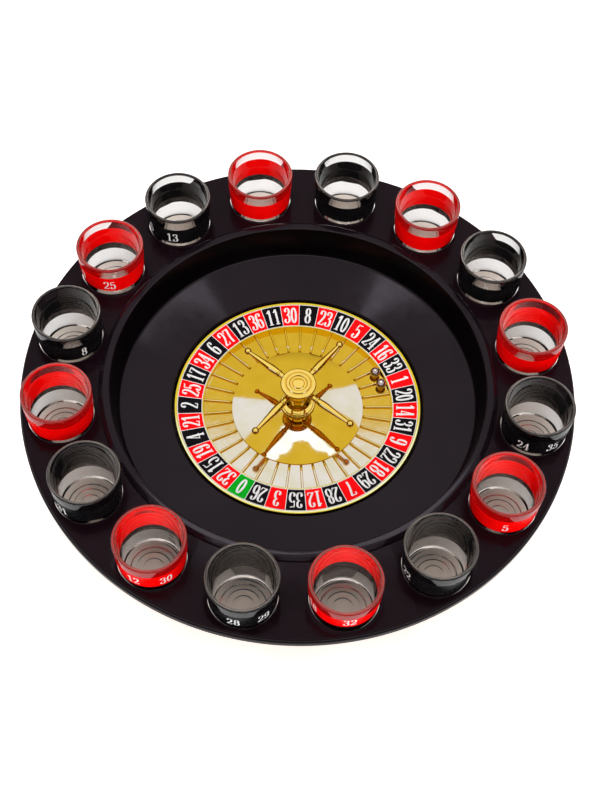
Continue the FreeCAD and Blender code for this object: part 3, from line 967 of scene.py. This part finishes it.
def light_only(source, name, receivers):
    """The light or glowing panel lights these objects and no others."""
    group = bpy.data.collections.new(name)
    for obj in receivers:
        group.objects.link(obj)
    source.light_linking.receiver_collection = group


def glow_panel(name, corners, height, colour, strength, receivers):
    """A level softbox that shows only in the receivers' reflections and hides nothing."""
    bm = bmesh.new()
    bm.faces.new([bm.verts.new((x, y, height)) for x, y in corners])
    m = bpy.data.materials.new(name)
    m.use_nodes = True
    tree = m.node_tree
    tree.nodes.remove(tree.nodes["Principled BSDF"])
    glow = tree.nodes.new("ShaderNodeEmission")
    glow.inputs["Color"].default_value = (*colour, 1)
    glow.inputs["Strength"].default_value = strength
    through = tree.nodes.new("ShaderNodeBsdfTransparent")
    both = tree.nodes.new("ShaderNodeAddShader")
    tree.links.new(glow.outputs["Emission"], both.inputs[0])
    tree.links.new(through.outputs["BSDF"], both.inputs[1])
    tree.links.new(both.outputs["Shader"], tree.nodes["Material Output"].inputs["Surface"])
    panel = finish_mesh(bm, name, [m])
    panel.visible_camera = False
    panel.visible_shadow = False
    panel.visible_diffuse = False
    panel.visible_transmission = False
    light_only(panel, name + "_on", receivers)


# The cool tints cancel the plating's own colour, so the panels show pale in it.
COOL = (0.0066, 0.032, 1.0)
COOL_BRIGHT = (0.016, 0.042, 1.0)
COOL_TURRET = (0.09, 0.13, 1.0)
COOL_FLANK = (0.048, 0.076, 1.0)
# Panels over one another hang at different heights, so that none lies in the plane of another.
CONE_PANELS_Z = 0.8
PAN_PANEL_Z = 0.79
TURRET_PANEL_Z = 0.82
LEFT_PANEL = ((-0.05, 0.44), (-0.10, 0.50), (-0.20, 0.515), (-0.35, 0.565), (-0.52, 0.65), (-0.54, 0.25),
              (-0.33, 0.20), (-0.20, 0.33))
RIGHT_PANEL = ((0.06, 0.50), (0.10, 0.56), (0.20, 0.64), (0.30, 0.71), (0.40, 0.80), (0.52, 0.92),
               (0.54, 0.30), (0.42, 0.33), (0.37, 0.40), (0.20, 0.46))
MIDDLE_PANEL = ((-0.03, 0.345), (0.06, 0.345), (0.09, 0.31), (0.13, 0.235), (0.20, 0.155), (0.26, 0.13),
                (0.20, 0.09), (0.19, 0.115), (0.12, 0.125), (0.09, 0.15), (0.07, 0.185), (0.03, 0.20),
                (-0.02, 0.18), (-0.025, 0.14), (-0.05, 0.10), (-0.10, 0.08), (-0.10, 0.055),
                (-0.14, 0.03), (-0.20, 0.085), (-0.17, 0.12), (-0.13, 0.16), (-0.12, 0.21),
                (-0.10, 0.25), (-0.07, 0.31))
NEAR_PANEL = ((-0.30, 0.25), (-0.30, 0.425), (0.04, 0.435), (0.30, 0.445), (0.30, 0.25))
TURRET_PANEL = ((-1.0, -0.5), (-1.0, 0.8), (1.0, 0.8), (1.0, -0.5))

# soft lamps that the bowl reflects: (name, x, y, width, length)
SHEEN_Z = 0.785
SHEEN_POWER = 0.2
BOWL_SHEENS = (("sheen_left", 0.090, 0.325, 0.15, 0.14), ("sheen_right", -0.070, 0.290, 0.14, 0.13))


def sky():
    """White for the camera, and a soft light that is brightest overhead for everything else."""
    scene = bpy.context.scene
    scene.view_settings.view_transform = "Standard"
    world = bpy.data.worlds.new("studio")
    world.use_nodes = True
    tree = world.node_tree
    dome = tree.nodes["Background"]
    dome.inputs["Color"].default_value = (0.97, 0.98, 1.0, 1)
    way = tree.nodes.new("ShaderNodeTexCoord").outputs["Generated"]
    split = tree.nodes.new("ShaderNodeSeparateXYZ")
    tree.links.new(way, split.inputs["Vector"])
    brightness = spread(tree, split.outputs["Z"], 0.05, 0.85, 0.30, 0.62)
    tree.links.new(brightness, dome.inputs["Strength"])
    backdrop = tree.nodes.new("ShaderNodeBackground")
    backdrop.inputs["Color"].default_value = (0.95, 0.95, 0.96, 1)
    path = tree.nodes.new("ShaderNodeLightPath")
    mix = tree.nodes.new("ShaderNodeMixShader")
    tree.links.new(path.outputs["Is Camera Ray"], mix.inputs["Fac"])
    tree.links.new(dome.outputs["Background"], mix.inputs[1])
    tree.links.new(backdrop.outputs["Background"], mix.inputs[2])
    tree.links.new(mix.outputs["Shader"], tree.nodes["World Output"].inputs["Surface"])
    scene.world = world


def studio(cone, pan, turret, balls, tray, prints, ground):
    """Lamps and panels; apart from the key light, each lights only what it is meant for."""
    sky()
    key = area_light("key", (0.0, 0.1, 1.0), (0, 0, 0), width=1.0, height=1.0, power=6)
    key.visible_glossy = False
    key.visible_transmission = False
    wash = area_light("floor_wash", (0, 0, 1.7), (0, 0, 0), width=2.6, height=2.6, power=4)
    light_only(wash, "floor_only", [ground])
    front = area_light("front", (0.2, -1.1, 0.75), (0, 0, 0.04), width=1.0, height=0.6, power=14)
    front.visible_glossy = False
    front.visible_transmission = False
    light_only(front, "front_on", prints)
    glow_panel("panel_left", LEFT_PANEL, CONE_PANELS_Z, COOL, 19, [cone])
    glow_panel("panel_right", RIGHT_PANEL, CONE_PANELS_Z, COOL, 18, [cone])
    glow_panel("panel_middle", MIDDLE_PANEL, CONE_PANELS_Z, COOL_BRIGHT, 32, [cone])
    glow_panel("panel_near", NEAR_PANEL, PAN_PANEL_Z, COOL, 19, [pan])
    glow_panel("panel_turret", TURRET_PANEL, TURRET_PANEL_Z, COOL_TURRET, 4.0, turret)
    for side, x in (("left", -1.0), ("right", 1.0)):
        flank = area_light("flank_" + side, (x, -0.8, 0.45), (0, 0, 0.03),
                           width=0.6, height=0.4, power=17, colour=COOL_FLANK)
        light_only(flank, "flank_on_" + side, turret)
    spark = area_light("ball_light", (0.02, 0.25, 0.8), (0.04, 0.02, 0.013),
                       width=0.3, height=0.3, power=1.4, colour=(1.0, 0.92, 0.9))
    light_only(spark, "ball_light_on", balls)
    for name, x, y, width, length in BOWL_SHEENS:
        lamp = area_light(name, (x, y, SHEEN_Z), (0, 0.08, 0.02), width, length,
                          power=SHEEN_POWER, colour=(0.9, 0.95, 1.0))
        light_only(lamp, name + "_on", tray)
    edge = area_light("edge_light", (0.1, -0.3, 0.8), (0, 0.05, 0.02), width=1.2, height=0.2, power=1.2)
    edge.visible_diffuse = False
    light_only(edge, "edge_light_on", tray)


def floor():
    """A pale table top that glows for the camera, so that it reads as white as the sky behind it."""
    half = 3.0
    bm = bmesh.new()
    corners = [bm.verts.new((x * half, y * half, 0)) for x, y in ((-1, -1), (1, -1), (1, 1), (-1, 1))]
    bm.faces.new(corners)
    m, tree, shader, _ = new_material("floor")
    shader.inputs["Roughness"].default_value = 0.9
    shader.inputs["Base Color"].default_value = (0.93, 0.93, 0.93, 1)
    shader.inputs["Specular IOR Level"].default_value = 0.1
    shader.inputs["Emission Color"].default_value = (1.0, 0.88, 0.78, 1)
    seen = tree.nodes.new("ShaderNodeLightPath").outputs["Is Camera Ray"]
    tree.links.new(spread(tree, seen, 0.06, 0.7, 0.0, 1.0), shader.inputs["Emission Strength"])
    ground = finish_mesh(bm, "floor", [m])
    return ground


# ---- make everything ------------------------------------------------------------------------
# CAD nodes shown as they are, with a finish
KEPT_NODES = {
    "bearing_plate": BASE_PLASTIC, "base_cover": BASE_PLASTIC, "cover_screws": STEEL,
    "spindle": STEEL, "spindle_nut": STEEL, "thrust_washer": STEEL, "retaining_clip": STEEL,
    "pivot_bush": NYLON,
    "foot_pad_1": RUBBER, "foot_pad_2": RUBBER, "foot_pad_3": RUBBER, "foot_pad_4": RUBBER,
}
for node, material in KEPT_NODES.items():
    for material_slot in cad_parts[node].material_slots:
        material_slot.material = material

tray = [tray_flange(), bowl()]
pan = wheel_pan()
prints = [number_ring(), wheel_numbers()]
cone = wheel_cone()
turret = [turret_neck(), turret_hub(), turret_cap()] + [turret_arm(k) for k in range(ARMS)]
balls = [steel_ball(k) for k in range(BALLS)]
for k in range(GLASSES):
    prints += shot_glass(k)
camera()
studio(cone, pan, turret, balls, tray, prints, floor())
